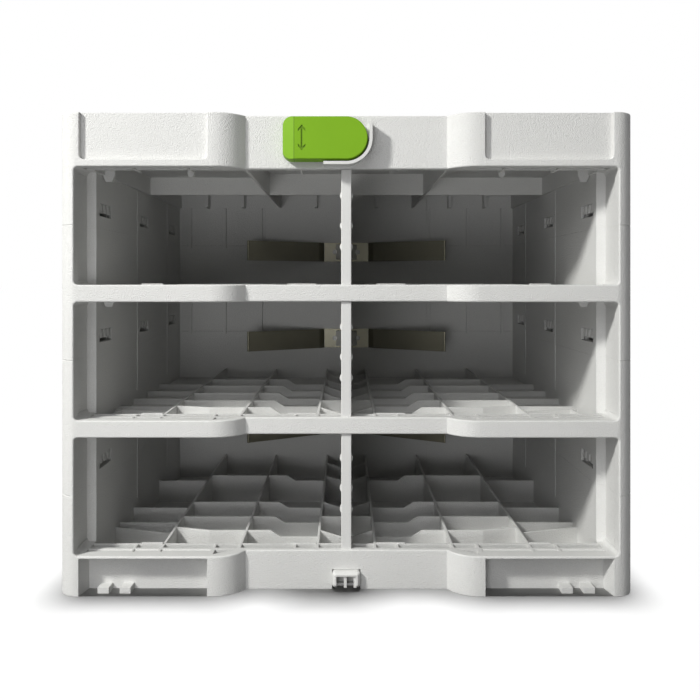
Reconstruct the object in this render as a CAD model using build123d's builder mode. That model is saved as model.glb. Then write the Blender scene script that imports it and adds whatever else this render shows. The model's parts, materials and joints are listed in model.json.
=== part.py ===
"""A tool case rack: four stacked housings with six open compartments, leaf springs, a latch and a handle.

X runs to the right, Y to the back and Z up. The origin is the centre of the rack's underside.
Depths are counted from the front plane backwards, rises from the floor of a row upwards.
"""

import os
from math import atan, cos, degrees, radians, sin, sqrt

from build123d import *

# How far a cut runs past a face, how far an added piece reaches into what carries it, and a tolerance
past = 1.0
bite = 0.5
tiny = 0.01

# Overall size
rack_width = 404.0
rack_depth = 296.0
corner_radius = 14.0

# Heights of the stack
base_height = 27.8
row_pitch = 94.4
beam_height = 12.0
header_height = 38.0
row_count = 3
row_clear = row_pitch - beam_height
seam_rise = 41.6

# Front profile in plan: a flat centre set back between two swept shoulders
centre_setback = 12.0
shoulder_start = 93.0
shoulder_radius = 24.7

# Side walls
frame_width = 12.3
frame_lip_depth = 8.4
frame_lip_step = 0.6
wall_depth = 18.0
ramp_start = 27.0
ramp_end = 29.0
inner_skin = 2.4
outer_skin = 2.6
opening_corner_radius = 3.0
edge_radius = 1.0
seam_chamfer = 0.35

# Cavities in the side walls, one either side of each snap window and one at it
cavity_count = 5
cavity_length = 45.0
cavity_web = 4.0
cavity_cover = 2.0
front_window_depth = 48.5
back_window_from_back = 44.0
window_length = 26.0
window_height = 9.5
window_rise = 9.6
ridge_width = 1.2
ridge_height = 0.5
ridge_before_window = 20.5

# Snap tongues with slanted teeth that show in the windows
tongue_width = 24.0
tongue_thickness = 2.4
tongue_root = 10.0
tongue_clearance = 0.3
tongue_strip = 2.0
tooth_count = 3
tooth_width = 4.6
tooth_pitch = 8.0
tooth_height = 6.2
tooth_lean = 2.0
tooth_recess = 0.5

# Back wall
back_wall = 4.0
back_thickness = 9.0
back_step = 4.0
back_step_half = 88.0
back_rib_positions = (94.0, 134.0, 172.0)
back_rib_width = 3.0
back_rib_depth = 3.0
back_rib_tail = 3.0
back_rim = 16.0
seam_line_height = 0.5
seam_line_depth = 0.4

# Rib floors
rib = 1.8
rib_start = 20.8
rib_spacing = 55.9
floor_skin = 2.0
rib_drop = 5.0
rib_step = 1.0
ramp_high = 58.0
ramp_low = 50.0
beam_back_depth = 16.5
front_rib_depth = 24.0
front_rib_steps = ((22.0, 43.0), (133.5, 149.0))
front_rib_step_height = 0.8
stub_rib_positions = (37.0, 95.0, 152.0)
kinked_rib_depth = 51.3
kinked_rib_turn = 105.0
kinked_rib_slope = 0.26
cross_rib_depths = (83.0, 120.0, 161.0, 202.0)
shelf_only_rib_depth = 161.0
flat_rib_depth = 83.0
narrow_rib_gap = 35.0
ledge_depth = 9.0
ledge_groove = 0.8
shoulder_hollow = ((93.5, 4.5), (93.5, 12.5), (79.0, 12.5))
beam_skin = 2.6
front_skin = 3.0

# Small catches that hang under each shelf and the ceiling
peg_depth = 43.0
peg_from_wall = 5.0
peg_width = 9.0
peg_drop = 5.0
middle_peg_x = 116.6
middle_peg_depth = 40.0
middle_peg_width = 4.6
middle_peg_drop = 2.0

# Base
pocket_inner = 96.8
pocket_outer = 186.4
pocket_slant = 2.9
pocket_height = 26.2
pocket_depth = 13.0
block_height = 4.2
block_front_depth = 4.6
block_spans = ((151.3, 159.0), (166.5, 174.5))

# Header and ceiling
recess_inner = 96.8
recess_outer = 185.9
recess_sill = 5.2
recess_depth = 3.5
recess_corner = 3.0
recess_skin = 2.0
header_flange_depth = 18.7
header_skin = 2.4
ceiling_side_rise = 16.2
ceiling_mid_rise = 19.4
ceiling_side_step = 2.0
ceiling_rib_x = 72.4
ceiling_beam_depth = 165.0
gusset_positions = (33.0, 112.9, 151.8)
gusset_length = 12.0
back_gusset_width = 3.0
middle_gusset_length = 22.0
tray_skin = 2.4
tray_rim = 16.0
tray_back_rim = 10.0
tray_corner = 8.0
rim_skin = 2.4
top_edge = 1.0
recess_edge = 0.6
latch_bay_half = 62.0
latch_bay_depth = 30.0

# Dividers
divider_width = 7.3
divider_front_depth = 14.0
divider_post = 8.0
divider_web = 2.4
divider_flange = 2.0
divider_top_gap = 0.2
divider_clearance = 0.15
bump_rises = (27.3, 42.4, 64.1)
bump_height = 4.5
bump_proud = 1.0
bump_length = 5.0
bump_setback = 5.0
divider_edge = 0.6

# Leaf springs
spring_rise = 34.0
spring_height = 20.6
spring_strip = 0.8
spring_root_half = 24.0
spring_bend_length = 8.0
spring_bend_angle = 50.0
spring_arm_angle = 28.5
spring_arm_length = 82.0
spring_roll_radius = 1.2
spring_split = 0.3
spring_hole_x = 12.6
clamp_half = 11.3
clamp_height = 16.0
clamp_thickness = 5.0
clamp_notch_gap = 0.5
screw_radius = 1.5
screw_head_radius = 2.6
screw_head = 1.6
socket_radius = 1.5
socket_depth = 1.1
screw_length = 5.0
screw_end_gap = 0.2
screw_clearance = 0.05
pad_cover = 2.0

# Latch
latch_rise = 20.2
lever_half = 14.8
lever_draft = 0.85
lever_reach = 45.1
lever_corner = 7.0
lever_thickness = 9.0
lever_wall = 2.2
lever_grip_length = 8.6
lever_grip_slope = 3.0
lever_gap = 2.4
arrow_x = 31.0
arrow_half = 8.7
arrow_line = 1.2
arrow_head = 2.6
arrow_barb = 1.7
arrow_depth = 0.5
guard_inner_radius = 16.2
guard_wall = 2.2
guard_height = 10.4
guard_plate = 1.6
guard_tail = 16.0
guard_ear = 11.6
guard_plate_radius = 14.0
axle_radius = 4.0
axle_clearance = 0.08
axle_wall = 2.4
axle_tail = 2.4
hub_length = 3.5
ring_opening = 2.0
hub_radius = 7.0
hub_gap = 0.1
washer_radius = 8.5
washer_thickness = 1.2
ring_radius = 6.6
ring_thickness = 1.2
ring_groove = 0.8
ring_gap = 0.1
guard_screw_x = 11.5
guard_screw_length = 4.2
screw_tip_cover = 0.4
hook_gap = 0.4
lever_notch = (-32.5, -11.0)
lever_notch_depth = 3.1
lever_edge = 0.6

# Bottom catch
catch_half = 9.95
catch_bottom = 2.6
catch_height = 11.2
catch_wall = 3.0
catch_proud = 5.0
catch_corner = 2.5
catch_floor = 2.0
catch_flange = 3.0
catch_flange_thickness = 2.0
catch_edge = 1.8
catch_rib_positions = (-0.7, 6.2)
catch_rib_width = 2.1
catch_rib_setback = 1.0
catch_opening_height = 8.2
catch_clearance = 0.15

# Carrying handle
handle_half = 68.0
handle_arm_width = 12.0
handle_reach = 58.0
handle_grip_depth = 22.0
handle_thickness = 12.0
handle_lift = 1.6
handle_pivot_y = -22.0
handle_corner = 9.0
handle_edge = 3.0
handle_pivot_radius = 6.0
handle_pad = 12.0
handle_pad_x = 38.0
bracket_width = 12.0
bracket_depth = 30.0
bracket_gap = 0.4
bracket_edge = 1.0
handle_pin_radius = 3.0
handle_pin_clearance = 0.06
handle_pin_cover = 2.0
bracket_screw_offset = 10.0
boss_radius = 4.0
boss_height = 2.2
bracket_screw_bite = 0.8

# Derived places
half_width = rack_width / 2
front_y = -rack_depth / 2
opening_half = half_width - frame_width
wall_inner = half_width - wall_depth
cavity_inner = wall_inner + inner_skin
cavity_outer = half_width - outer_skin
header_bottom = base_height + (row_count - 1) * row_pitch + row_clear
rack_height = header_bottom + header_height
back_inner_depth = rack_depth - back_thickness
back_face_depth = back_inner_depth - back_step
narrow_rib_depth = back_face_depth - narrow_rib_gap
window_depths = (
    front_window_depth,
    (front_window_depth + rack_depth - back_window_from_back) / 2,
    rack_depth - back_window_from_back,
)
ceiling_side = header_bottom + ceiling_side_rise
ceiling_mid = header_bottom + ceiling_mid_rise
tray_floor_side = ceiling_side + tray_skin
tray_floor_mid = ceiling_mid + tray_skin
latch_z = header_bottom + latch_rise
clamp_front_depth = back_face_depth - spring_strip - clamp_thickness
hub_back_depth = centre_setback + front_skin + hub_length
lever_back_depth = centre_setback - lever_gap
axle_front_depth = lever_back_depth - lever_thickness + axle_wall
bracket_x = handle_half - handle_arm_width - bracket_gap - bracket_width / 2
bracket_screw_y = (handle_pivot_y - bracket_screw_offset, handle_pivot_y + bracket_screw_offset)


def at_depth(depth):
    """The Y of a depth behind the front plane."""
    return front_y + depth


def floor_of(row):
    """The floor level of a row, counted from the bottom."""
    return base_height + row * row_pitch


def seam_of(row):
    """The seam half way up a row."""
    return floor_of(row) + seam_rise


def block(x0, x1, d0, d1, z0, z1):
    """A box between two X, two depths and two heights."""
    middle = ((x0 + x1) / 2, at_depth((d0 + d1) / 2), (z0 + z1) / 2)
    return Box(abs(x1 - x0), d1 - d0, z1 - z0, mode=Mode.PRIVATE).moved(Location(middle))


def both_sides(x0, x1, d0, d1, z0, z1):
    """The same box on the right and on the left."""
    return [block(x0, x1, d0, d1, z0, z1), block(-x1, -x0, d0, d1, z0, z1)]


def plan_prism(points, z0, z1):
    """A prism over points given as X and depth."""
    with BuildSketch(Plane.XY.offset(z0), mode=Mode.PRIVATE) as plan:
        with BuildLine():
            Polyline([(x, at_depth(d)) for x, d in points], close=True)
        make_face()
    return extrude(plan.sketch, amount=z1 - z0, mode=Mode.PRIVATE)


def cross_prism(points, d0, d1):
    """A prism that runs backwards over points given as X and Z."""
    with BuildSketch(Plane.XZ.offset(-at_depth(d0)), mode=Mode.PRIVATE) as section:
        with BuildLine():
            Polyline(points, close=True)
        make_face()
    return extrude(section.sketch, amount=d0 - d1, mode=Mode.PRIVATE)


def rod(x, z, radius, d0, d1):
    """A round rod that runs backwards."""
    place = Location((x, at_depth((d0 + d1) / 2), z), (90, 0, 0))
    return Cylinder(radius, d1 - d0, mode=Mode.PRIVATE).moved(place)


def rack_outline():
    """The outer outline of the rack in plan."""
    sweep_depth = shoulder_radius - centre_setback
    shoulder_end = shoulder_start - sqrt(shoulder_radius**2 - sweep_depth**2)
    centre_y = at_depth(centre_setback)
    back_y = at_depth(rack_depth)
    corner_x = half_width - corner_radius
    with BuildSketch(mode=Mode.PRIVATE) as outline:
        with BuildLine():
            Line((0, centre_y), (shoulder_end, centre_y))
            RadiusArc((shoulder_end, centre_y), (shoulder_start, front_y), -shoulder_radius)
            Line((shoulder_start, front_y), (corner_x, front_y))
            RadiusArc((corner_x, front_y), (half_width, front_y + corner_radius), -corner_radius)
            Line((half_width, front_y + corner_radius), (half_width, back_y - corner_radius))
            RadiusArc((half_width, back_y - corner_radius), (corner_x, back_y), -corner_radius)
            Line((corner_x, back_y), (0, back_y))
            mirror(about=Plane.YZ)
        make_face()
    return outline.sketch


def stack_body(z0, z1):
    """A length of the rack's outer body between two heights, with its seam edges broken."""
    extrude(rack_outline().moved(Location((0, 0, z0))), amount=z1 - z0)
    ends = [z for z in (z0, z1) if 0 < z < rack_height]
    outer_edges = [edge for edge in edges() if any(abs(edge.center().Z - z) < tiny for z in ends)]
    chamfer(outer_edges, seam_chamfer)


def front_opening(row):
    """The framed opening at the front of a row, with its rounded corners."""
    with BuildSketch(Plane.XZ.offset(-at_depth(-past)), mode=Mode.PRIVATE) as window:
        with Locations((0, floor_of(row) + row_clear / 2)):
            RectangleRounded(2 * opening_half, row_clear, opening_corner_radius)
    return extrude(window.sketch, amount=-(ramp_start + past), mode=Mode.PRIVATE)


def soften_front_edges(z0, z1):
    """Rounds the front edges of the openings between two heights."""
    chosen = []
    for edge in edges():
        box = edge.bounding_box()
        upright = box.size.Z > box.size.X + box.size.Y
        at_frame = abs(abs(edge.center().X) - opening_half) < tiny
        in_front = box.max.Y < at_depth(centre_setback) + tiny
        between = z0 + past < edge.center().Z < z1 - past and abs(edge.center().X) < opening_half + tiny
        if in_front and between and (at_frame or not upright):
            chosen.append(edge)
    fillet(chosen, edge_radius)


def frame_lips(row):
    """The small steps behind the front lip of an opening's sides."""
    low = floor_of(row) + opening_corner_radius
    high = floor_of(row) + row_clear - opening_corner_radius
    return both_sides(opening_half - past, opening_half + frame_lip_step, frame_lip_depth, ramp_start, low, high)


def room(z0, z1, front=None):
    """The room behind the front frame, or behind a beam, with the stepped back wall."""
    if front is None:
        start = [(opening_half, ramp_start - tiny), (wall_inner, ramp_end)]
    else:
        start = [(wall_inner, front)]
    right = start + [
        (wall_inner, back_inner_depth),
        (back_step_half, back_inner_depth),
        (back_step_half, back_face_depth),
    ]
    left = [(-x, d) for x, d in reversed(right)]
    return plan_prism(right + left, z0, z1)


def wall_cavities(z0, z1, inner=None):
    """The cavities that leave two skins and upright webs in each side wall."""
    inner = inner or cavity_inner
    first = window_depths[0]
    step = (window_depths[-1] - first) / (cavity_count - 1)
    half = min(cavity_length, step - cavity_web) / 2
    cuts = []
    for i in range(cavity_count):
        middle = first + i * step
        front = max(middle - half, ramp_end + inner_skin)
        cuts += both_sides(inner, cavity_outer, front, middle + half, z0, z1)
    return cuts


def windows(seam):
    """The snap windows in the inner skins, above a seam."""
    low = seam + window_rise
    half = window_length / 2
    cuts = []
    for middle in window_depths:
        cuts += both_sides(wall_inner - past, cavity_inner + tiny, middle - half, middle + half,
                           low, low + window_height)
    return cuts


def tongues(seam):
    """The snap tongues that stand above a seam, with the slanted teeth that fill the windows."""
    plate_in = cavity_inner + tongue_clearance
    plate_out = plate_in + tongue_thickness
    top = seam + window_rise + window_height
    teeth_low = top - tongue_clearance - tooth_height
    adds = []
    for middle in window_depths:
        d0 = middle - tongue_width / 2
        d1 = middle + tongue_width / 2
        adds += both_sides(cavity_inner - bite, plate_out, d0, d1, seam - tongue_root, seam)
        adds += both_sides(plate_in, plate_out, d0, d1, seam - past, seam + window_rise)
        adds += both_sides(plate_in, plate_out, d0, d0 + tongue_strip, seam, top)
        adds += both_sides(plate_in, plate_out, d1 - tongue_strip, d1, seam, top)
        adds += both_sides(plate_in, plate_out, d0, d1, teeth_low, top)
        for i in range(tooth_count):
            foot = middle + (i - (tooth_count - 1) / 2) * tooth_pitch - tooth_width / 2
            adds += teeth(foot, teeth_low, plate_in)
    return adds


def teeth(foot, z, plate_in):
    """One slanted tooth on the right tongue and one on the left."""
    face = wall_inner + tooth_recess
    reach = plate_in - face + bite
    profile = [
        (at_depth(foot), z),
        (at_depth(foot + tooth_width), z),
        (at_depth(foot + tooth_width - tooth_lean), z + tooth_height),
        (at_depth(foot - tooth_lean), z + tooth_height),
    ]
    pair = []
    for start in (face, -face - reach):
        with BuildSketch(Plane.YZ.offset(start), mode=Mode.PRIVATE) as tooth:
            with BuildLine():
                Polyline(profile, close=True)
            make_face()
        pair.append(extrude(tooth.sketch, amount=reach, mode=Mode.PRIVATE))
    return pair


def wall_ridges(z0, z1):
    """The thin upright ridges on the side walls, one ahead of each window but the first."""
    half = ridge_width / 2
    adds = []
    for middle in window_depths[1:]:
        place = middle - ridge_before_window
        adds += both_sides(wall_inner - ridge_height, wall_inner + bite, place - half, place + half, z0, z1)
    return adds


def back_ribs(seam, top):
    """The upright ribs on the back wall, from a seam up, with tails that lap the wall below."""
    half = back_rib_width / 2
    front = back_inner_depth - back_rib_depth
    adds = []
    for x in back_rib_positions:
        adds += both_sides(x - half, x + half, front, back_inner_depth + bite, seam, top)
        adds += both_sides(x - half, x + half, front, back_inner_depth, seam - back_rib_tail, seam + past)
    return adds


def back_panels(z0, z1):
    """The shallow panels that thin the back wall from behind."""
    behind = rack_depth + past
    edge = back_step_half
    skin = back_inner_depth + back_wall
    panels = both_sides(edge + back_wall / 2, half_width - back_rim, skin, behind, z0, z1)
    panels.append(block(back_wall - edge, edge - back_wall, back_face_depth + back_wall, behind, z0, z1))
    return panels


def seam_lines(top):
    """The fine groove along the top of the back wall, which shows as the seam."""
    low = top - seam_line_height
    high = top + past
    step = back_step_half
    cuts = both_sides(step - bite, wall_inner, back_inner_depth - past, back_inner_depth + seam_line_depth, low, high)
    cuts.append(block(-step, step, back_face_depth - past, back_face_depth + seam_line_depth, low, high))
    return cuts


def screw_pads(row):
    """The pads behind the back wall that take the screws of a row's spring."""
    z = floor_of(row) + spring_rise
    pad = 2 * screw_head_radius
    return both_sides(spring_hole_x - pad, spring_hole_x + pad, back_face_depth + back_wall - bite,
                      back_face_depth + screw_length + pad_cover, z - pad, z + pad)


def screw_holes(row):
    """The blind holes for the screws of a row's spring."""
    z = floor_of(row) + spring_rise
    end = back_face_depth + screw_length
    return [rod(x, z, screw_radius + screw_clearance, back_face_depth - past, end + screw_end_gap)
            for x in (-spring_hole_x, spring_hole_x)]


def rib_positions():
    """The X of the ribs that run backwards."""
    places = []
    x = rib_start
    while x < wall_inner - rib_spacing / 2:
        places.append(x)
        x += rib_spacing
    return places


def rib_floor(floor, bottom, depths):
    """The open rib floor of a row between its front beam and its back wall."""
    back = back_face_depth + bite
    half = rib / 2
    end = wall_inner + bite
    front = beam_back_depth - bite
    adds = []
    for x in rib_positions():
        length = back if x < back_step_half else back_inner_depth + bite
        adds += both_sides(x - half, x + half, front, length, bottom, floor)
    for x in stub_rib_positions:
        adds += both_sides(x - half, x + half, front, front_rib_depth, bottom, floor)
    for x0, x1 in front_rib_steps:
        adds += both_sides(x0, x1, front_rib_depth - half, front_rib_depth + half, floor - bite,
                           floor + front_rib_step_height)
    for depth in (front_rib_depth, *depths):
        adds.append(block(-end, end, depth - half, depth + half, bottom, floor))
    adds.append(kinked_rib(floor, bottom, end))
    adds.append(block(-rib_start, rib_start, narrow_rib_depth - half, narrow_rib_depth + half, bottom, floor))
    return adds


def kinked_rib(floor, bottom, end):
    """The cross rib that slants backwards towards each wall."""
    turn = kinked_rib_turn
    near = kinked_rib_depth - rib / 2
    far = near + (end - turn) * kinked_rib_slope
    front_line = [(-end, far), (-turn, near), (turn, near), (end, far)]
    back_line = [(x, depth + rib) for x, depth in reversed(front_line)]
    return plan_prism(front_line + back_line, bottom, floor)


def rib_tops(floor):
    """What is cut from the tops of the cross ribs, beside the walls and around the divider."""
    start = front_rib_depth + rib / 2 + rib_step
    end = back_face_depth
    low = floor - rib_drop
    high = floor + past
    first = rib_start + rib / 2
    last = rib_positions()[-1] + rib / 2
    post = divider_width / 2 + divider_clearance
    inner = rib_start - rib / 2
    cuts = both_sides(last, wall_inner, start, end, low, high)
    slope = [(first, low), (ramp_low, low), (ramp_high, floor), (ramp_high, high), (first, high)]
    fall = [(post, low), (inner, floor), (inner, high), (post, high)]
    for side in (1, -1):
        cuts.append(cross_prism([(side * x, z) for x, z in slope], start, end))
        for d0, d1 in ((start, flat_rib_depth - rib), (flat_rib_depth + rib, end)):
            cuts.append(cross_prism([(side * x, z) for x, z in fall], d0, d1))
    cuts.append(block(-post, post, start, end, low, high))
    return cuts


def ledge_cuts(floor, low):
    """The slots behind the front ledge of a floor, and the hollows behind its shoulders."""
    high = floor + past
    cuts = both_sides(pocket_inner, wall_inner, ledge_depth, beam_back_depth - front_skin, low, high)
    for side in (1, -1):
        corners = [(side * x, depth) for x, depth in shoulder_hollow]
        cuts.append(plan_prism(corners, floor - beam_height + floor_skin, high))
    return cuts


def ledge_ribs(floor, low):
    """The ribs that cross the slots behind the front ledge."""
    half = rib / 2
    adds = []
    for x in (*rib_positions(), *stub_rib_positions):
        if x > pocket_inner:
            adds += both_sides(x - half, x + half, ledge_depth - bite, beam_back_depth, low - bite, floor)
    return adds


def hanging_peg(middle, depth, width, z, drop, stem_top):
    """A small tapered catch on the right and on the left, each with its own stem."""
    outer = middle + width / 2
    inner = middle - width / 2
    taper = width / 4
    profile = [(outer, stem_top), (outer, z), (outer - taper, z - drop), (inner + taper, z - drop),
               (inner, z), (inner, stem_top)]
    return [cross_prism([(side * x, height) for x, height in profile], depth - rib, depth + rib)
            for side in (1, -1)]


def peg_stems(z, stem_top):
    """The catches that hang beside the front corners of a row."""
    return hanging_peg(wall_inner - peg_from_wall, peg_depth, peg_width, z, peg_drop, stem_top)


def peg_ribs(bottom, floor):
    """The short ribs that carry the catches under a shelf."""
    middle = wall_inner - peg_from_wall
    end = kinked_rib_depth + (middle - kinked_rib_turn) * kinked_rib_slope
    return both_sides(middle - rib / 2, middle + rib / 2, front_rib_depth, end, bottom, floor - rib_drop)


os.makedirs("parts", exist_ok=True)


def finish(part, name):
    """Labels a piece and writes its file."""
    part.label = name
    export_step(part, f"parts/{name}.step")


def foot_pockets():
    """The two front pockets of the skirt, whose outer walls slant inwards."""
    right = [(pocket_inner, -past), (pocket_outer, -past), (pocket_outer - pocket_slant, pocket_depth),
             (pocket_inner, pocket_depth)]
    left = [(-x, d) for x, d in reversed(right)]
    return [plan_prism(points, -past, pocket_height) for points in (right, left)]


# Base housing: the skirt, the bottom floor and the lower half of the bottom row
with BuildPart() as base_housing:
    floor = floor_of(0)
    seam = seam_of(0)
    groove = floor - ledge_groove
    stack_body(0, seam)
    add(front_opening(0), mode=Mode.SUBTRACT)
    soften_front_edges(0, seam)
    catch_hole = catch_half + catch_clearance
    cuts = [room(floor, seam + past), room(floor_skin, floor + tiny, beam_back_depth)]
    cuts += frame_lips(0) + foot_pockets() + ledge_cuts(floor, groove)
    cuts += wall_cavities(floor + cavity_cover, seam + past) + wall_cavities(-past, floor - cavity_cover)
    cuts += back_panels(back_rim, seam - back_rim / 2)
    cuts.append(block(-catch_hole, catch_hole, centre_setback - past, beam_back_depth + past, -past,
                      catch_bottom + catch_height + catch_clearance))
    add(cuts, mode=Mode.SUBTRACT)
    base_rib_depths = [depth for depth in cross_rib_depths if depth != shelf_only_rib_depth]
    adds = rib_floor(floor, floor_skin - bite, base_rib_depths) + ledge_ribs(floor, groove)
    adds += screw_pads(0) + tongues(seam) + wall_ridges(floor - rib_drop, seam)
    for x0, x1 in block_spans:
        adds += both_sides(x0, x1, block_front_depth, pocket_depth + bite, 0, block_height)
    add(adds)
    add(rib_tops(floor) + seam_lines(seam) + screw_holes(0), mode=Mode.SUBTRACT)
finish(base_housing.part, "base_housing")


def build_shelf(row, name):
    """A shelf: the floor of one row, with half a row of wall above and below it."""
    floor = floor_of(row)
    low = seam_of(row - 1)
    top = seam_of(row)
    bottom = floor - beam_height
    skin_top = bottom + floor_skin
    with BuildPart() as shelf:
        stack_body(low, top)
        add([front_opening(row), front_opening(row - 1)], mode=Mode.SUBTRACT)
        soften_front_edges(low, top)
        cuts = [room(low - past, bottom), room(floor, top + past)]
        cuts.append(room(skin_top, floor + tiny, beam_back_depth))
        cuts += frame_lips(row) + frame_lips(row - 1) + ledge_cuts(floor, skin_top)
        cuts += both_sides(pocket_inner, wall_inner, front_skin, ledge_depth - beam_skin,
                           bottom - past, floor - beam_skin)
        cuts += wall_cavities(low - past, bottom - cavity_cover)
        cuts += wall_cavities(floor + cavity_cover, top + past)
        cuts += windows(low)
        cuts += back_panels(low + back_rim / 2, floor - (beam_height + back_wall) / 2)
        cuts += back_panels(floor - (beam_height - back_wall) / 2, top - back_rim / 2)
        add(cuts, mode=Mode.SUBTRACT)
        adds = rib_floor(floor, skin_top - bite, cross_rib_depths) + ledge_ribs(floor, skin_top)
        adds += screw_pads(row) + tongues(top) + back_ribs(low, bottom + bite)
        adds += wall_ridges(low, bottom) + wall_ridges(floor - rib_drop, top)
        adds += peg_ribs(skin_top - bite, floor) + peg_stems(bottom, floor - rib_drop)
        add(adds)
        add(rib_tops(floor) + seam_lines(top) + screw_holes(row), mode=Mode.SUBTRACT)
    finish(shelf.part, name)


build_shelf(1, "lower_shelf")
build_shelf(2, "upper_shelf")


# Top housing: the header, the ceiling, the tray for the handle and half a row of wall
def label_recesses():
    """The two bare recesses in the header, open at the top."""
    sill = header_bottom + recess_sill
    cuts = []
    for x0, x1 in ((recess_inner, recess_outer), (-recess_outer, -recess_inner)):
        above = rack_height + past
        with BuildSketch(Plane.XZ.offset(-at_depth(-past)), mode=Mode.PRIVATE) as panel:
            with BuildLine():
                Polyline((x0, above), (x0, sill), (x1, sill), (x1, above), close=True)
            make_face()
            low_corners = panel.vertices().group_by(Axis.Z)[0]
            fillet(low_corners, recess_corner)
        cuts.append(extrude(panel.sketch, amount=-(recess_depth + past), mode=Mode.PRIVATE))
    return cuts


def header_cavities():
    """The hollows behind the header's face, the outer ones open below."""
    high = rack_height - header_skin
    wall = wall_inner + inner_skin
    inner = recess_inner - recess_skin
    cuts = both_sides(inner, wall, recess_depth + front_skin, header_flange_depth - rim_skin,
                      header_bottom - past, high)
    bay = latch_bay_half
    front = centre_setback + front_skin
    low = header_bottom + header_skin
    cuts.append(block(-bay, bay, front, header_flange_depth + tiny, low, ceiling_mid))
    cuts.append(block(-bay, bay, front, latch_bay_depth, ceiling_mid - tiny, high))
    return cuts


def ceiling_space():
    """The space under the ceiling, with its ribs left standing."""
    side = wall_inner - ceiling_side_step
    back = back_inner_depth
    step = back_step_half
    front = header_flange_depth
    right = [(side, front), (side, back), (step, back), (step, back_face_depth)]
    left = [(-x, d) for x, d in reversed(right)]
    middle = ceiling_rib_x - rib / 2
    return [
        plan_prism(right + left, header_bottom - tiny, ceiling_side),
        block(-middle, middle, front, back_face_depth, ceiling_side - tiny, ceiling_mid),
    ]


def ceiling_ribs():
    """The ribs and short gussets under the ceiling."""
    half = rib / 2
    front = header_flange_depth
    adds = both_sides(ceiling_rib_x - half, ceiling_rib_x + half, front - bite, back_face_depth + bite,
                      header_bottom, ceiling_side + bite)
    middle = ceiling_rib_x
    side = wall_inner - ceiling_side_step + bite
    beam = (ceiling_beam_depth - half, ceiling_beam_depth + half)
    adds += both_sides(middle, side, *beam, header_bottom, ceiling_side + bite)
    adds.append(block(-middle, middle, *beam, header_bottom, ceiling_mid + bite))
    for x in gusset_positions:
        central = x < ceiling_rib_x
        back = back_face_depth if central else back_inner_depth
        top = (ceiling_mid if central else ceiling_side) + bite
        start = front if central else recess_depth + front_skin
        length = middle_gusset_length if central else gusset_length
        wide = back_gusset_width / 2
        adds += both_sides(x - wide, x + wide, back - gusset_length, back + bite, header_bottom, top)
        adds += both_sides(x - half, x + half, start - bite, front + length, header_bottom, top)
    return adds


def tray_space():
    """The tray in the top, deeper at its sides, cut back in front for the latch bay."""
    side = half_width - tray_rim
    front = header_flange_depth
    back = rack_depth - tray_back_rim
    with BuildSketch(Plane.XY.offset(tray_floor_mid), mode=Mode.PRIVATE) as tray:
        with Locations((0, at_depth((front + back) / 2))):
            RectangleRounded(2 * side, back - front, tray_corner)
        bay = latch_bay_half + rim_skin
        with Locations((0, at_depth(front))):
            Rectangle(2 * bay, 2 * (latch_bay_depth + rim_skin - front), mode=Mode.SUBTRACT)
    wide = extrude(tray.sketch, amount=rack_height - tray_floor_mid + past, mode=Mode.PRIVATE)
    edge = ceiling_rib_x + rib / 2
    near = front + tray_corner
    far = back - tray_corner
    return [wide] + both_sides(edge, side, near, far, tray_floor_side, tray_floor_mid + tiny)


def handle_bosses():
    """The bosses and holes under the tray for the screws of the handle's brackets, and two rest pads."""
    adds = []
    cuts = []
    for x in (-bracket_x, bracket_x):
        for y in bracket_screw_y:
            boss = Cylinder(boss_radius, boss_height + bite, mode=Mode.PRIVATE)
            adds.append(boss.moved(Location((x, y, ceiling_mid - (boss_height - bite) / 2))))
            top = tray_floor_mid + past
            low = ceiling_mid - bracket_screw_bite - screw_end_gap
            hole = Cylinder(screw_radius + screw_clearance, top - low, mode=Mode.PRIVATE)
            cuts.append(hole.moved(Location((x, y, (top + low) / 2))))
    pad_depth = handle_pivot_y - front_y + handle_reach
    half = handle_pad / 2
    adds += both_sides(handle_pad_x - half, handle_pad_x + half, pad_depth - half, pad_depth + half,
                       tray_floor_mid - bite, tray_floor_mid + handle_lift)
    return adds, cuts


with BuildPart() as top_housing:
    seam = seam_of(2)
    stack_body(seam, rack_height)
    fillet(edges().group_by(Axis.Z)[-1], top_edge)
    add(front_opening(2), mode=Mode.SUBTRACT)
    soften_front_edges(seam, rack_height)
    add(label_recesses(), mode=Mode.SUBTRACT)
    sill_edges = [
        edge for edge in edges()
        if abs(edge.center().Y - front_y) < tiny
        and header_bottom + recess_sill - tiny < edge.center().Z < rack_height - top_edge
        and recess_inner - tiny < abs(edge.center().X) < recess_outer + tiny
    ]
    fillet(sill_edges, recess_edge)
    cuts = [room(seam - past, header_bottom)] + frame_lips(2) + ceiling_space() + header_cavities() + tray_space()
    cuts += wall_cavities(seam - past, header_bottom - cavity_cover)
    cuts += wall_cavities(header_bottom, rack_height - header_skin, half_width - tray_rim + rim_skin)
    cuts += windows(seam) + back_panels(seam + back_rim / 2, rack_height - back_rim)
    add(cuts, mode=Mode.SUBTRACT)
    boss_adds, boss_cuts = handle_bosses()
    adds = ceiling_ribs() + back_ribs(seam, header_bottom) + wall_ridges(seam, header_bottom) + boss_adds
    adds += peg_stems(header_bottom, ceiling_side + bite)
    adds += hanging_peg(middle_peg_x, middle_peg_depth, middle_peg_width, header_bottom, middle_peg_drop,
                        ceiling_side + bite)
    face_back = centre_setback + front_skin
    adds.append(rod(0, latch_z, hub_radius, face_back - bite, hub_back_depth))
    add(adds)
    holes = [rod(x, latch_z, screw_radius + screw_clearance, centre_setback - past, face_back + past)
             for x in (-guard_screw_x, guard_screw_x)]
    holes.append(rod(0, latch_z, axle_radius + axle_clearance, centre_setback - past, hub_back_depth + past))
    add(holes + boss_cuts, mode=Mode.SUBTRACT)
finish(top_housing.part, "top_housing")


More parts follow.
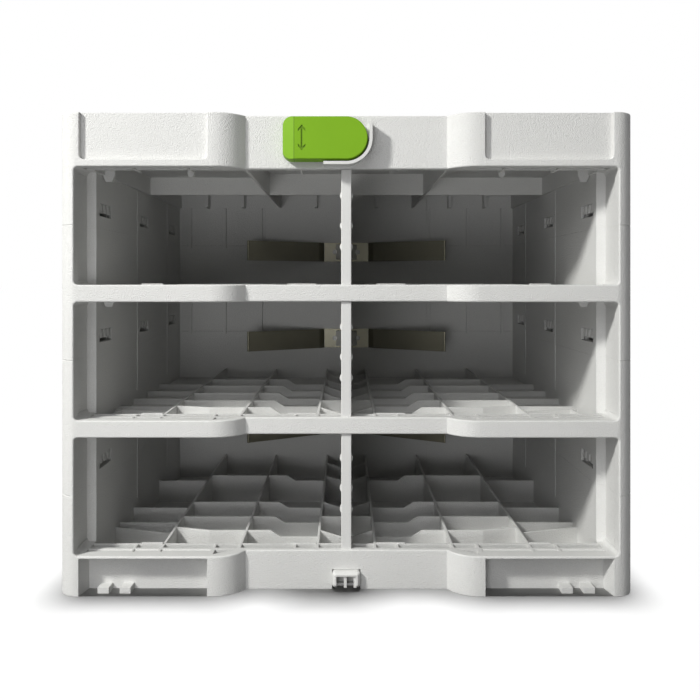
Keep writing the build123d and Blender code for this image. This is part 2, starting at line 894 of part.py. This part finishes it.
# Dividers: a front post with bumps, a thin web with flanges and a back post that bears on the clamp
def build_divider(row, name):
    floor = floor_of(row)
    top = floor + row_clear - divider_top_gap
    half = divider_width / 2
    web = divider_web / 2
    front = divider_front_depth
    back = clamp_front_depth
    step = front_rib_depth + rib / 2 + rib_step + divider_clearance
    low = floor - rib_drop
    bump_radius = (bump_height**2 / 4 + bump_proud**2) / (2 * bump_proud)
    bump_middle = front + bump_setback
    with BuildPart() as divider:
        add([
            block(-half, half, front, front + divider_post, floor, top),
            block(-web, web, front, back, floor, top),
            block(-web, web, step, back, low, floor + divider_flange),
            block(-half, half, back - divider_post, back, low, top),
            block(-half, half, front, back, top - divider_flange, top),
            block(-half, half, step, back, low, low + divider_flange),
            block(-half, half, front, step + divider_flange, floor, floor + divider_flange),
            block(-half, half, step, step + divider_flange, low, floor + divider_flange),
        ])
        front_edges = edges().filter_by(Axis.Z).group_by(Axis.Y)[0]
        fillet(front_edges, divider_edge)
        bumps = []
        for rise in bump_rises:
            for side in (1, -1):
                x = side * (half + bump_proud - bump_radius)
                bumps.append(rod(x, floor + rise, bump_radius, bump_middle - bump_length / 2,
                                 bump_middle + bump_length / 2))
        add(bumps)
    finish(divider.part, name)


for row, level in enumerate(("bottom", "middle", "top")):
    build_divider(row, f"divider_{level}")


# Leaf springs: a flat root on the back wall, an arm each side, a clamp and two screws in each row
def strip_outline(points, thickness):
    """The outline of a bent strip of a thickness, from the X and depth of its front face."""
    back = []
    for i, (x, d) in enumerate(points):
        before = points[max(i - 1, 0)]
        after = points[min(i + 1, len(points) - 1)]
        first = Vector(x - before[0], d - before[1], 0)
        second = Vector(after[0] - x, after[1] - d, 0)
        first = (first if first.length > 0 else second).normalized()
        second = (second if second.length > 0 else first).normalized()
        normal = Vector(-first.Y - second.Y, first.X + second.X, 0).normalized()
        share = -first.Y * normal.X + first.X * normal.Y
        back.append((x + normal.X * thickness / share, d + normal.Y * thickness / share))
    return points + back[::-1]


def arm_points():
    """The front face of the right-hand arm, from its root to its tip, as X and depth."""
    x = spring_root_half + spring_split
    d = back_face_depth - spring_strip
    points = [(x, d)]
    for angle, length in ((spring_bend_angle, spring_bend_length), (spring_arm_angle, spring_arm_length)):
        x += length * cos(radians(angle))
        d -= length * sin(radians(angle))
        points.append((x, d))
    return points


def build_spring(row, level):
    z = floor_of(row) + spring_rise
    low = z - spring_height / 2
    high = z + spring_height / 2
    strip_depth = back_face_depth - spring_strip
    hole = screw_radius + screw_clearance
    screw_places = (-spring_hole_x, spring_hole_x)
    with BuildPart() as root:
        add(block(-spring_root_half, spring_root_half, strip_depth, back_face_depth, low, high))
        add([rod(x, z, hole, strip_depth - past, back_face_depth + past) for x in screw_places],
            mode=Mode.SUBTRACT)
    finish(root.part, f"spring_root_{level}")

    tip_x, tip_d = arm_points()[-1]
    for side, word in ((-1, "left"), (1, "right")):
        outline = strip_outline(arm_points(), spring_strip)
        with BuildPart() as arm:
            add(plan_prism([(side * x, d) for x, d in outline], low, high))
            with Locations((side * tip_x, at_depth(tip_d + spring_roll_radius / 2), z)):
                Cylinder(spring_roll_radius, spring_height)
        finish(arm.part, f"spring_arm_{level}_{word}")

    with BuildPart() as clamp:
        add(block(-clamp_half, clamp_half, clamp_front_depth, strip_depth, z - clamp_height / 2,
                  z + clamp_height / 2))
        notch = screw_head_radius + clamp_notch_gap
        add([rod(x, z, notch, clamp_front_depth - past, strip_depth + past) for x in screw_places],
            mode=Mode.SUBTRACT)
    finish(clamp.part, f"spring_clamp_{level}")


for row, level in enumerate(("bottom", "middle", "top")):
    build_spring(row, level)

with BuildPart() as spring_screws:
    heads = []
    sockets = []
    head_depth = back_face_depth - spring_strip
    head_face = head_depth - screw_head
    for row in range(row_count):
        for x in (-spring_hole_x, spring_hole_x):
            z = floor_of(row) + spring_rise
            heads.append(rod(x, z, screw_head_radius, head_face, head_depth))
            heads.append(rod(x, z, screw_radius, head_depth - bite, back_face_depth + screw_length))
            sockets.append(rod(x, z, socket_radius, head_face - past, head_face + socket_depth))
    add(heads)
    add(sockets, mode=Mode.SUBTRACT)
finish(spring_screws.part, "spring_screws")


# Latch: the guard on the header, the turning lever, its axle, washer and retaining ring
def guard_outline(inner_radius):
    """The outline of the guard's curved fence, seen from the front, round the axle."""
    outer = inner_radius + guard_wall
    with BuildSketch(Plane.XZ.offset(-at_depth(centre_setback)), mode=Mode.PRIVATE) as fence:
        with BuildLine():
            Line((-guard_tail, latch_z - outer), (0, latch_z - outer))
            RadiusArc((0, latch_z - outer), (outer, latch_z), -outer)
            Line((outer, latch_z), (outer, latch_z + guard_ear))
            Line((outer, latch_z + guard_ear), (inner_radius, latch_z + guard_ear))
            Line((inner_radius, latch_z + guard_ear), (inner_radius, latch_z))
            RadiusArc((inner_radius, latch_z), (0, latch_z - inner_radius), inner_radius)
            Line((0, latch_z - inner_radius), (-guard_tail, latch_z - inner_radius))
            Line((-guard_tail, latch_z - inner_radius), (-guard_tail, latch_z - outer))
        make_face()
    return fence.sketch


with BuildPart() as latch_guard:
    extrude(guard_outline(guard_inner_radius), amount=guard_height)
    plate_front = centre_setback - guard_plate
    fence_foot = guard_inner_radius + guard_wall / 2
    add([
        rod(0, latch_z, guard_plate_radius, plate_front, centre_setback),
        block(-guard_plate_radius, 0, plate_front, centre_setback, latch_z - fence_foot, latch_z),
        block(0, fence_foot, plate_front, centre_setback, latch_z, latch_z + guard_ear - guard_wall),
        rod(0, latch_z, fence_foot, plate_front, centre_setback)
        & block(0, fence_foot, plate_front, centre_setback, latch_z - fence_foot, latch_z),
    ])
    hole_end = centre_setback + past
    holes = [rod(x, latch_z, screw_radius + screw_clearance, plate_front + screw_tip_cover, hole_end)
             for x in (-guard_screw_x, guard_screw_x)]
    holes.append(rod(0, latch_z, axle_radius + axle_clearance, plate_front - past, hole_end))
    add(holes, mode=Mode.SUBTRACT)
finish(latch_guard.part, "latch_guard")

with BuildPart() as guard_screws:
    head_depth = centre_setback + front_skin
    shanks = []
    for x in (-guard_screw_x, guard_screw_x):
        shanks.append(rod(x, latch_z, screw_head_radius, head_depth, head_depth + screw_head))
        shanks.append(rod(x, latch_z, screw_radius, head_depth - guard_screw_length, head_depth + bite))
    add(shanks)
finish(guard_screws.part, "guard_screws")


def lever_outline(half, reach, corner):
    """The lever's outline seen from the front: round at the axle, with soft corners at its free end."""
    with BuildSketch(Plane.XZ.offset(-at_depth(lever_back_depth)), mode=Mode.PRIVATE) as outline:
        with BuildLine():
            Line((0, latch_z + half), (corner - reach, latch_z + half))
            RadiusArc((corner - reach, latch_z + half), (-reach, latch_z + half - corner), -corner)
            Line((-reach, latch_z + half - corner), (-reach, latch_z - half + corner))
            RadiusArc((-reach, latch_z - half + corner), (corner - reach, latch_z - half), -corner)
            Line((corner - reach, latch_z - half), (0, latch_z - half))
            ThreePointArc((0, latch_z - half), (half, latch_z), (0, latch_z + half))
        make_face()
    return outline.sketch


def arrow_cuts(face_depth):
    """The double-ended arrow engraved in the lever's face."""
    line = arrow_line / 2
    depth = face_depth + arrow_depth
    start = face_depth - past
    cuts = [block(-arrow_x - line, -arrow_x + line, start, depth, latch_z - arrow_half, latch_z + arrow_half)]
    for end in (1, -1):
        tip = latch_z + end * arrow_half
        for side in (1, -1):
            barb = [
                (-arrow_x, tip),
                (-arrow_x + side * arrow_head, tip - end * arrow_head),
                (-arrow_x + side * arrow_head, tip - end * (arrow_head + arrow_barb)),
                (-arrow_x, tip - end * arrow_barb),
            ]
            cuts.append(cross_prism(barb, start, depth))
    return cuts


with BuildPart() as latch_lever:
    face_depth = lever_back_depth - lever_thickness
    taper = degrees(atan(lever_draft / lever_thickness))
    back_half = lever_half + lever_draft
    extrude(lever_outline(back_half, lever_reach, lever_corner), amount=lever_thickness, taper=taper)
    fillet(faces().sort_by(Axis.Y)[0].edges(), lever_edge)
    crease = lever_grip_length - lever_reach
    end = -lever_reach - past
    slope = [(crease, face_depth), (end, face_depth + lever_grip_slope), (end, -past), (crease, -past)]
    add(plan_prism(slope, latch_z - 2 * lever_half, latch_z + 2 * lever_half), mode=Mode.SUBTRACT)
    inner_half = lever_half - lever_wall
    inner_depth = face_depth + lever_wall
    behind = lever_back_depth + past
    catch_top = rack_height + catch_bottom + catch_height
    hook_radius = sqrt(catch_half**2 + (catch_top - latch_z) ** 2) + hook_gap
    hollow_end = rod(0, latch_z, hook_radius, inner_depth, behind) & block(
        -hook_radius - past, 0, inner_depth, behind, latch_z - inner_half, latch_z + inner_half)
    add([hollow_end, rod(0, latch_z, inner_half, inner_depth, behind)], mode=Mode.SUBTRACT)
    add(rod(0, latch_z, hub_radius, inner_depth - bite, centre_setback - guard_plate - hub_gap))
    notch_x0, notch_x1 = lever_notch
    notch = block(notch_x0, notch_x1, lever_back_depth - lever_notch_depth, behind,
                  latch_z + inner_half - past, latch_z + lever_half + 3 * past)
    add([notch, rod(0, latch_z, axle_radius, axle_front_depth, centre_setback)] + arrow_cuts(face_depth),
        mode=Mode.SUBTRACT)
finish(latch_lever.part, "latch_lever")

ring_front_depth = hub_back_depth + washer_thickness + ring_gap
ring_back_depth = ring_front_depth + ring_thickness
with BuildPart() as latch_axle:
    add(rod(0, latch_z, axle_radius, axle_front_depth, ring_back_depth + axle_tail))
    groove = rod(0, latch_z, axle_radius + past, ring_front_depth, ring_back_depth)
    core = rod(0, latch_z, axle_radius - ring_groove, ring_front_depth, ring_back_depth)
    add(groove - core, mode=Mode.SUBTRACT)
finish(latch_axle.part, "latch_axle")

with BuildPart() as latch_washer:
    add(rod(0, latch_z, washer_radius, hub_back_depth, hub_back_depth + washer_thickness))
    add(rod(0, latch_z, axle_radius + axle_clearance, hub_back_depth - past, ring_front_depth + past),
        mode=Mode.SUBTRACT)
finish(latch_washer.part, "latch_washer")

with BuildPart() as latch_ring:
    add(rod(0, latch_z, ring_radius, ring_front_depth, ring_back_depth))
    before = ring_front_depth - past
    behind = ring_back_depth + past
    add([
        rod(0, latch_z, axle_radius - ring_groove, before, behind),
        block(-ring_opening / 2, ring_opening / 2, before, behind, latch_z, latch_z + 2 * ring_radius),
    ], mode=Mode.SUBTRACT)
finish(latch_ring.part, "latch_ring")


# Bottom catch: an arch with two upright ribs, set in the skirt
with BuildPart() as bottom_catch:
    top = catch_bottom + catch_height
    front = centre_setback - catch_proud
    back = beam_back_depth + catch_flange_thickness + catch_floor
    with BuildSketch(Plane.XZ.offset(-at_depth(back))) as arch:
        with Locations((0, (catch_bottom + top) / 2)):
            Rectangle(2 * catch_half, catch_height)
        fillet(arch.vertices().group_by(Axis.Z)[-1], catch_corner)
    extrude(amount=back - front)
    front_edges = faces().sort_by(Axis.Y)[0].edges()
    chamfer(front_edges.filter_by(lambda edge: edge.center().Z > catch_bottom + tiny), catch_edge)
    inner = catch_half - catch_wall
    flange = catch_half + catch_flange
    add(block(-inner, inner, front - past, back - catch_floor, catch_bottom - past,
              catch_bottom + catch_opening_height), mode=Mode.SUBTRACT)
    half = catch_rib_width / 2
    adds = [block(x - half, x + half, front + catch_rib_setback, back - catch_floor + bite, catch_bottom,
                  top - catch_wall) for x in catch_rib_positions]
    adds.append(block(-flange, flange, beam_back_depth, beam_back_depth + catch_flange_thickness,
                      top - catch_wall, top + catch_flange))
    adds += both_sides(inner, flange, beam_back_depth, beam_back_depth + catch_flange_thickness, catch_bottom,
                       top + catch_flange)
    add(adds)
finish(bottom_catch.part, "bottom_catch")


# Carrying handle: a bail that folds into the tray, its brackets, pins and screws
handle_low = tray_floor_mid + handle_lift
handle_high = handle_low + handle_thickness
pivot_z = (handle_low + handle_high) / 2
with BuildPart() as carry_handle:
    grip_far = handle_pivot_y + handle_reach + handle_grip_depth / 2
    grip_near = grip_far - handle_grip_depth
    inside = handle_half - handle_arm_width
    with BuildSketch(Plane.XY.offset(handle_low)) as bail:
        with Locations((0, (handle_pivot_y + grip_far) / 2)):
            Rectangle(2 * handle_half, grip_far - handle_pivot_y)
        fillet(bail.vertices().group_by(Axis.Y)[-1], handle_corner)
        with Locations((0, handle_pivot_y)):
            Rectangle(2 * inside, 2 * (grip_near - handle_pivot_y), mode=Mode.SUBTRACT)
        inner_corners = bail.vertices().filter_by(
            lambda v: abs(v.Y - grip_near) < tiny and abs(abs(v.X) - inside) < tiny)
        fillet(inner_corners, handle_corner / 2)
    extrude(amount=handle_thickness)
    fillet(edges().filter_by(lambda edge: edge.center().Y > handle_pivot_y + tiny), handle_edge)
    for side in (1, -1):
        arm_middle = side * (handle_half - handle_arm_width / 2)
        with Locations(Location((arm_middle, handle_pivot_y, pivot_z), (0, 90, 0))):
            Cylinder(handle_pivot_radius, handle_arm_width)
            Cylinder(handle_pin_radius, handle_arm_width + past, mode=Mode.SUBTRACT)
finish(carry_handle.part, "carry_handle")

for side, word in ((-1, "left"), (1, "right")):
    middle = side * bracket_x
    with BuildPart() as bracket:
        with Locations((middle, handle_pivot_y, (tray_floor_mid + handle_high) / 2)):
            Box(bracket_width, bracket_depth, handle_high - tray_floor_mid)
        chamfer(edges().group_by(Axis.Z)[-1], bracket_edge)
        with Locations(Location((middle, handle_pivot_y, pivot_z), (0, 90, 0))):
            Cylinder(handle_pin_radius + handle_pin_clearance, bracket_width + past, mode=Mode.SUBTRACT)
        for y in bracket_screw_y:
            with Locations((middle, y, handle_high - screw_head / 2)):
                Cylinder(screw_head_radius + screw_clearance, screw_head, mode=Mode.SUBTRACT)
            with Locations((middle, y, pivot_z)):
                Cylinder(screw_radius + screw_clearance, 2 * handle_thickness, mode=Mode.SUBTRACT)
    finish(bracket.part, f"handle_bracket_{word}")

    pin_inner = bracket_x - bracket_width / 2
    pin_outer = handle_half - handle_pin_cover
    with BuildPart() as pin:
        pin_place = (side * (pin_inner + pin_outer) / 2, handle_pivot_y, pivot_z)
        with Locations(Location(pin_place, (0, 90, 0))):
            Cylinder(handle_pin_radius, pin_outer - pin_inner)
    finish(pin.part, f"handle_pin_{word}")

with BuildPart() as bracket_screws:
    for x in (-bracket_x, bracket_x):
        for y in bracket_screw_y:
            with Locations((x, y, handle_high - screw_head / 2)):
                Cylinder(screw_head_radius, screw_head)
            shank_top = handle_high - screw_head + bite
            shank_low = ceiling_mid - bracket_screw_bite
            with Locations((x, y, (shank_top + shank_low) / 2)):
                Cylinder(screw_radius, shank_top - shank_low)
finish(bracket_screws.part, "bracket_screws")
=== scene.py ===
"""The looks of the tool case rack: its plastics and steels, and the light, floor and camera round it."""

import json
from math import radians

import bpy
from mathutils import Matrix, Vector


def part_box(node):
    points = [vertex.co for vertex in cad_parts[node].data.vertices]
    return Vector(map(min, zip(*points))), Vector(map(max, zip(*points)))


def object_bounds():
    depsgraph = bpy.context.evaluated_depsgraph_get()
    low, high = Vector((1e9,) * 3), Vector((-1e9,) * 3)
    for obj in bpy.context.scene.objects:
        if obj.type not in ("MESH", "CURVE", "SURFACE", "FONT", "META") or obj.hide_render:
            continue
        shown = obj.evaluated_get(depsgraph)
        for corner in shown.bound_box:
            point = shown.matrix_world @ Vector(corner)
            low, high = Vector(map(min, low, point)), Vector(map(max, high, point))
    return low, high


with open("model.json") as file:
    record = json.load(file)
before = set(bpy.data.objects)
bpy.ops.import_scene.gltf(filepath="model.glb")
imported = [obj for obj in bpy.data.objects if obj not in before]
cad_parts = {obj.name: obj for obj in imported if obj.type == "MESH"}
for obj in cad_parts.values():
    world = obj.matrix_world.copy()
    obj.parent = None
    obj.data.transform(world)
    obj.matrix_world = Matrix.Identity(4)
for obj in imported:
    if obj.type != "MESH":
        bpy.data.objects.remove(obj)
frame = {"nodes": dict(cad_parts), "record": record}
cad_low, cad_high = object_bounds()
front_y = cad_low.y
rack_middle = Vector((0, front_y, (cad_low.z + cad_high.z) / 2))

white = (1, 1, 1, 1)
ambient_light = 0.09


def srgb(red, green, blue):
    """A colour written from 0 to 255, as the shaders take it."""
    steps = [value / 255 for value in (red, green, blue)]
    return [v / 12.92 if v <= 0.04045 else ((v + 0.055) / 1.055) ** 2.4 for v in steps] + [1]


def shaded(colour, share):
    """A colour made darker or lighter by a share."""
    return [channel * share for channel in colour[:3]] + [1]


# Shader maths
class Signal:
    """A socket whose sums, differences and products are Math nodes of its tree."""

    def __init__(self, nodes, socket):
        self.nodes = nodes
        self.socket = socket

    def __add__(self, other):
        return self.nodes.maths("ADD", self, other)

    def __sub__(self, other):
        return self.nodes.maths("SUBTRACT", self, other)

    def __mul__(self, other):
        return self.nodes.maths("MULTIPLY", self, other)

    def __rsub__(self, other):
        return self.nodes.maths("SUBTRACT", other, self)

    __radd__ = __add__
    __rmul__ = __mul__


class Nodes:
    """The nodes of one material or of the world."""

    def __init__(self, tree):
        self.tree = tree

    def node(self, kind, settings=None, inputs=None, output=0):
        """A node of a kind, with its settings made first and then the values or links of its sockets."""
        made = self.tree.nodes.new("ShaderNode" + kind)
        for name, value in (settings or {}).items():
            setattr(made, name, value)
        for name, value in (inputs or {}).items():
            self.feed(made.inputs[name], value)
        return Signal(self, made.outputs[output])

    def feed(self, socket, value):
        """Gives a socket a value, or a link where the value is a signal."""
        if isinstance(value, Signal):
            self.tree.links.new(value.socket, socket)
        else:
            socket.default_value = value

    def maths(self, operation, first, second, limited=False):
        """A Math node, held between nought and one where it is limited."""
        return self.node("Math", {"operation": operation, "use_clamp": limited}, {0: first, 1: second})

    def background_rays(self):
        """One where the camera sees the surface itself, mirrored or through something clear."""
        camera = self.node("LightPath", output="Is Camera Ray")
        mirrored = self.node("LightPath", output="Is Glossy Ray")
        through = self.node("LightPath", output="Is Transmission Ray")
        return self.maths("ADD", camera, mirrored + through, limited=True)


class Finish(Nodes):
    """One material, with its shader's constants and what changes over its surface."""

    def __init__(self, name, **constants):
        self.material = bpy.data.materials.new(name)
        self.material.use_nodes = True
        super().__init__(self.material.node_tree)
        self.shader = self.tree.nodes["Principled BSDF"]
        self.set(**constants)

    def set(self, **sockets):
        """Sets or feeds sockets of the shader, named by their words."""
        for words, value in sockets.items():
            name = words.replace("_", " ").title().replace("Ior", "IOR")
            self.feed(self.shader.inputs[name], value)

    def place(self):
        """The position on the object, as a vector."""
        return self.node("TexCoord", output="Object")

    def stretched(self, x, y, z):
        """The position on the object, scaled by axis."""
        return self.node("VectorMath", {"operation": "MULTIPLY"}, {0: self.place(), 1: (x, y, z)})

    def axes(self):
        """The position on the object, as X, Y and Z."""
        split = self.node("SeparateXYZ", inputs={0: self.place()})
        return [Signal(self, split.socket.node.outputs[axis]) for axis in "XYZ"]

    def noise(self, scale, detail, roughness, where=None):
        """Noise over the object, or over another place."""
        inputs = {"Vector": where or self.place(), "Scale": scale, "Detail": detail, "Roughness": roughness}
        return self.node("TexNoise", {"noise_dimensions": "3D"}, inputs)

    def mix(self, share, first, second):
        """A colour between two colours."""
        settings = {"data_type": "RGBA", "clamp_factor": True}
        return self.node("Mix", settings, {0: share, 6: first, 7: second}, output=2)

    def within(self, value, middle, half):
        """One where a value lies near a middle value, and nought elsewhere."""
        away = self.maths("ABSOLUTE", value - middle, 0)
        return self.maths("LESS_THAN", away, half)

    def soft_edges(self, radius):
        """The normal with edges rounded off by a radius."""
        return self.node("Bevel", {"samples": 4}, {"Radius": radius})

    def bumps(self, strength, distance, height, over=None):
        """A relief on the surface, on top of another normal where one is given."""
        inputs = {"Strength": strength, "Distance": distance, "Height": height}
        if over:
            inputs["Normal"] = over
        self.set(normal=self.node("Bump", inputs=inputs))


# Finishes
def moulded_plastic(name, colour, grain, roughness, edge_radius):
    """Moulded plastic: a fine spark grain, a faint cloudiness and softened edges."""
    finish = Finish(name, specular_ior_level=0.22)
    cloud = finish.noise(scale=14.0, detail=3.0, roughness=0.55)
    speckle = finish.noise(scale=1500.0, detail=2.0, roughness=0.6)
    relief = finish.noise(scale=1400.0, detail=1.0, roughness=0.5)
    tone = (cloud - 0.5) * 0.6 + (speckle - 0.5) * 1.3 + 0.5
    finish.set(base_color=finish.mix(tone, shaded(colour, 0.93), shaded(colour, 1.06)))
    finish.set(roughness=(speckle - 0.5) * 0.25 + roughness)
    finish.bumps(grain, distance=0.0007, height=relief, over=finish.soft_edges(edge_radius))
    return finish.material


def green_plastic():
    """The latch's satin green, with painted shade along the crease of its grip and in the engraved arrow.
    """
    lever_low, lever_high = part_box("latch_lever")
    lever_middle = (lever_low.z + lever_high.z) / 2
    grip_length = 0.0086
    crease_half = 0.0003
    arrow_x = -0.031
    arrow_half_width = 0.0036
    arrow_half_height = 0.0092
    arrow_depth = 0.0005
    arrow_reach = 0.00035

    colour = srgb(121, 168, 28)
    finish = Finish("latch_green_plastic", roughness=0.5, specular_ior_level=0.18)
    cloud = finish.noise(scale=60.0, detail=2.0, roughness=0.5)
    relief = finish.noise(scale=1700.0, detail=2.0, roughness=0.6)
    across, depth, height = finish.axes()
    # Painted shade: a thin dark line along the crease between grip and face, standing in for the shade in
    # that groove.
    crease_shade_mask = finish.within(across, lever_low.x + grip_length, crease_half)
    # Painted shade: the floor of the engraved arrow's groove drawn dark, standing in for the shade inside
    # it.
    level_with_arrow = finish.within(height, lever_middle, arrow_half_height)
    at_arrow_depth = finish.within(depth, lever_low.y + arrow_depth, arrow_reach)
    arrow_shade_mask = finish.within(across, arrow_x, arrow_half_width) * level_with_arrow * at_arrow_depth
    plain = finish.mix(cloud, shaded(colour, 0.96), shaded(colour, 1.04))
    # The painted crease shade laid over the green.
    with_crease_shade = finish.mix(crease_shade_mask * 0.55, plain, shaded(colour, 0.3))
    # The painted arrow shade laid over the green.
    finish.set(base_color=finish.mix(arrow_shade_mask * 0.5, with_crease_shade, shaded(colour, 0.18)))
    finish.bumps(0.12, distance=0.0002, height=relief, over=finish.soft_edges(0.0004))
    return finish.material


def spring_strip_steel():
    """Rolled spring steel: fine lines along the strip and faint darker patches."""
    colour = srgb(150, 147, 131)
    finish = Finish("spring_strip_steel", metallic=1.0)
    along_strip = finish.stretched(40.0, 40.0, 2600.0)
    lines = finish.noise(scale=1.0, detail=3.0, roughness=0.6, where=along_strip)
    patches = finish.noise(scale=55.0, detail=3.0, roughness=0.55)
    tone = lines * 0.5 + patches * 0.5
    finish.set(base_color=finish.mix(tone, shaded(colour, 0.75), shaded(colour, 1.2)))
    finish.set(roughness=(lines - 0.5) * 0.3 + (patches - 0.5) * 0.15 + 0.5)
    finish.bumps(0.15, distance=0.0001, height=lines)
    return finish.material


def screw_steel():
    """Dark zinc plated steel, with faint mottling."""
    colour = srgb(112, 112, 110)
    finish = Finish("dark_zinc_steel", metallic=1.0)
    mottle = finish.noise(scale=700.0, detail=3.0, roughness=0.6)
    finish.set(base_color=finish.mix(mottle, shaded(colour, 0.8), shaded(colour, 1.1)))
    finish.set(roughness=(mottle - 0.5) * 0.3 + 0.36)
    finish.bumps(0.1, distance=0.0001, height=mottle)
    return finish.material


materials = {
    "housing_plastic": moulded_plastic(
        "housing_grained_plastic", srgb(221, 221, 219), grain=0.75, roughness=0.6, edge_radius=0.0007),
    "insert_plastic": moulded_plastic(
        "insert_smooth_plastic", srgb(217, 217, 215), grain=0.25, roughness=0.55, edge_radius=0.0003),
    "clamp_plastic": moulded_plastic(
        "clamp_nylon", srgb(206, 206, 201), grain=0.1, roughness=0.55, edge_radius=0.0003),
    "handle_plastic": moulded_plastic(
        "handle_grained_plastic", srgb(205, 205, 202), grain=0.8, roughness=0.6, edge_radius=0.0004),
    "latch_green": green_plastic(),
    "spring_steel": spring_strip_steel(),
    "fastener_steel": screw_steel(),
}

for part in frame["record"]["subparts"]:
    mesh = frame["nodes"][part["node"]].data
    mesh.materials.clear()
    mesh.materials.append(materials[part["material_slot"]])


# Floor and surroundings
def make_floor():
    """A wide white floor that is dim for light that bounces off it, so that its shadow stays deep."""
    floor_size = 30
    seen_white = (0.45, 0.45, 0.45, 1)
    bounced_grey = (0.06, 0.06, 0.06, 1)
    bpy.ops.mesh.primitive_plane_add(size=floor_size)
    floor = bpy.context.object
    floor.name = "studio_floor"
    finish = Finish("floor_white", roughness=1.0, specular_ior_level=0.0)
    finish.set(base_color=finish.mix(finish.background_rays(), bounced_grey, seen_white))
    floor.data.materials.append(finish.material)
    return floor


def make_world():
    """White where the camera sees it, and a dim even light for the rest."""
    world = bpy.data.worlds.new("studio")
    bpy.context.scene.world = world
    world.use_nodes = True
    studio = Nodes(world.node_tree)
    background = world.node_tree.nodes["Background"]
    strength = ambient_light + studio.background_rays() * (1 - ambient_light)
    studio.feed(background.inputs["Color"], white)
    studio.feed(background.inputs["Strength"], strength)


def only_for(name, light, thing, state):
    """Links a light to one thing alone, or to all but that thing."""
    receivers = bpy.data.collections.new(name)
    receivers.objects.link(thing)
    light.light_linking.receiver_collection = receivers
    receivers.collection_objects[0].light_linking.link_state = state


def make_lamp(name, floor, toward, distance, size, power, colour):
    """A round lamp aimed at the rack's front, that leaves the floor alone."""
    toward = Vector(toward).normalized()
    data = bpy.data.lights.new(name, "AREA")
    data.shape = "DISK"
    data.size = size
    data.energy = power
    data.color = colour
    lamp = bpy.data.objects.new(name, data)
    bpy.context.scene.collection.objects.link(lamp)
    lamp.location = rack_middle - toward * distance
    lamp.rotation_mode = "QUATERNION"
    lamp.rotation_quaternion = toward.to_track_quat("-Z", "Y")
    only_for("not_lit_by_" + name, lamp, floor, "EXCLUDE")


def make_floor_light(floor):
    """A lamp almost straight overhead for the floor alone, which gives the narrow shadow round the foot."""
    data = bpy.data.lights.new("overhead", "SUN")
    data.energy = 6.7
    data.angle = radians(6.8)
    lamp = bpy.data.objects.new("overhead", data)
    bpy.context.scene.collection.objects.link(lamp)
    lamp.rotation_euler = (radians(-1.6), 0, 0)
    only_for("lit_by_overhead", lamp, floor, "INCLUDE")


def make_camera():
    """A level camera in front, a little above half height, with the photograph's framing."""
    frame_px = 700.0
    rack_px = 346.3
    horizon_px = 280.0
    focal_px = 698.0
    eye_distance = 0.485
    eye_height = 0.220
    data = bpy.data.cameras.new("camera")
    data.sensor_width = 36.0
    data.lens = data.sensor_width * focal_px / frame_px
    data.shift_x = (frame_px / 2 - rack_px) / frame_px
    data.shift_y = (horizon_px - frame_px / 2) / frame_px
    data.clip_start = 0.01
    camera = bpy.data.objects.new("camera", data)
    bpy.context.scene.collection.objects.link(camera)
    camera.location = (0, front_y - eye_distance, cad_low.z + eye_height)
    camera.rotation_euler = (radians(90), 0, 0)
    bpy.context.scene.camera = camera


studio_floor = make_floor()
make_world()
make_lamp("key", studio_floor, toward=(1.18, 0.88, -1.06), distance=1.45, size=0.17, power=20.2,
          colour=(1.0, 0.998, 0.968))
make_lamp("fill", studio_floor, toward=(0.4, 1.0, -0.75), distance=1.4, size=1.2, power=5.2,
          colour=(0.985, 0.985, 1.0))
make_lamp("front", studio_floor, toward=(0.2, 0.95, 0.14), distance=0.75, size=0.3, power=1.5,
          colour=(0.99, 0.99, 1.0))
make_floor_light(studio_floor)
make_camera()
bpy.context.scene.view_settings.view_transform = "Standard"
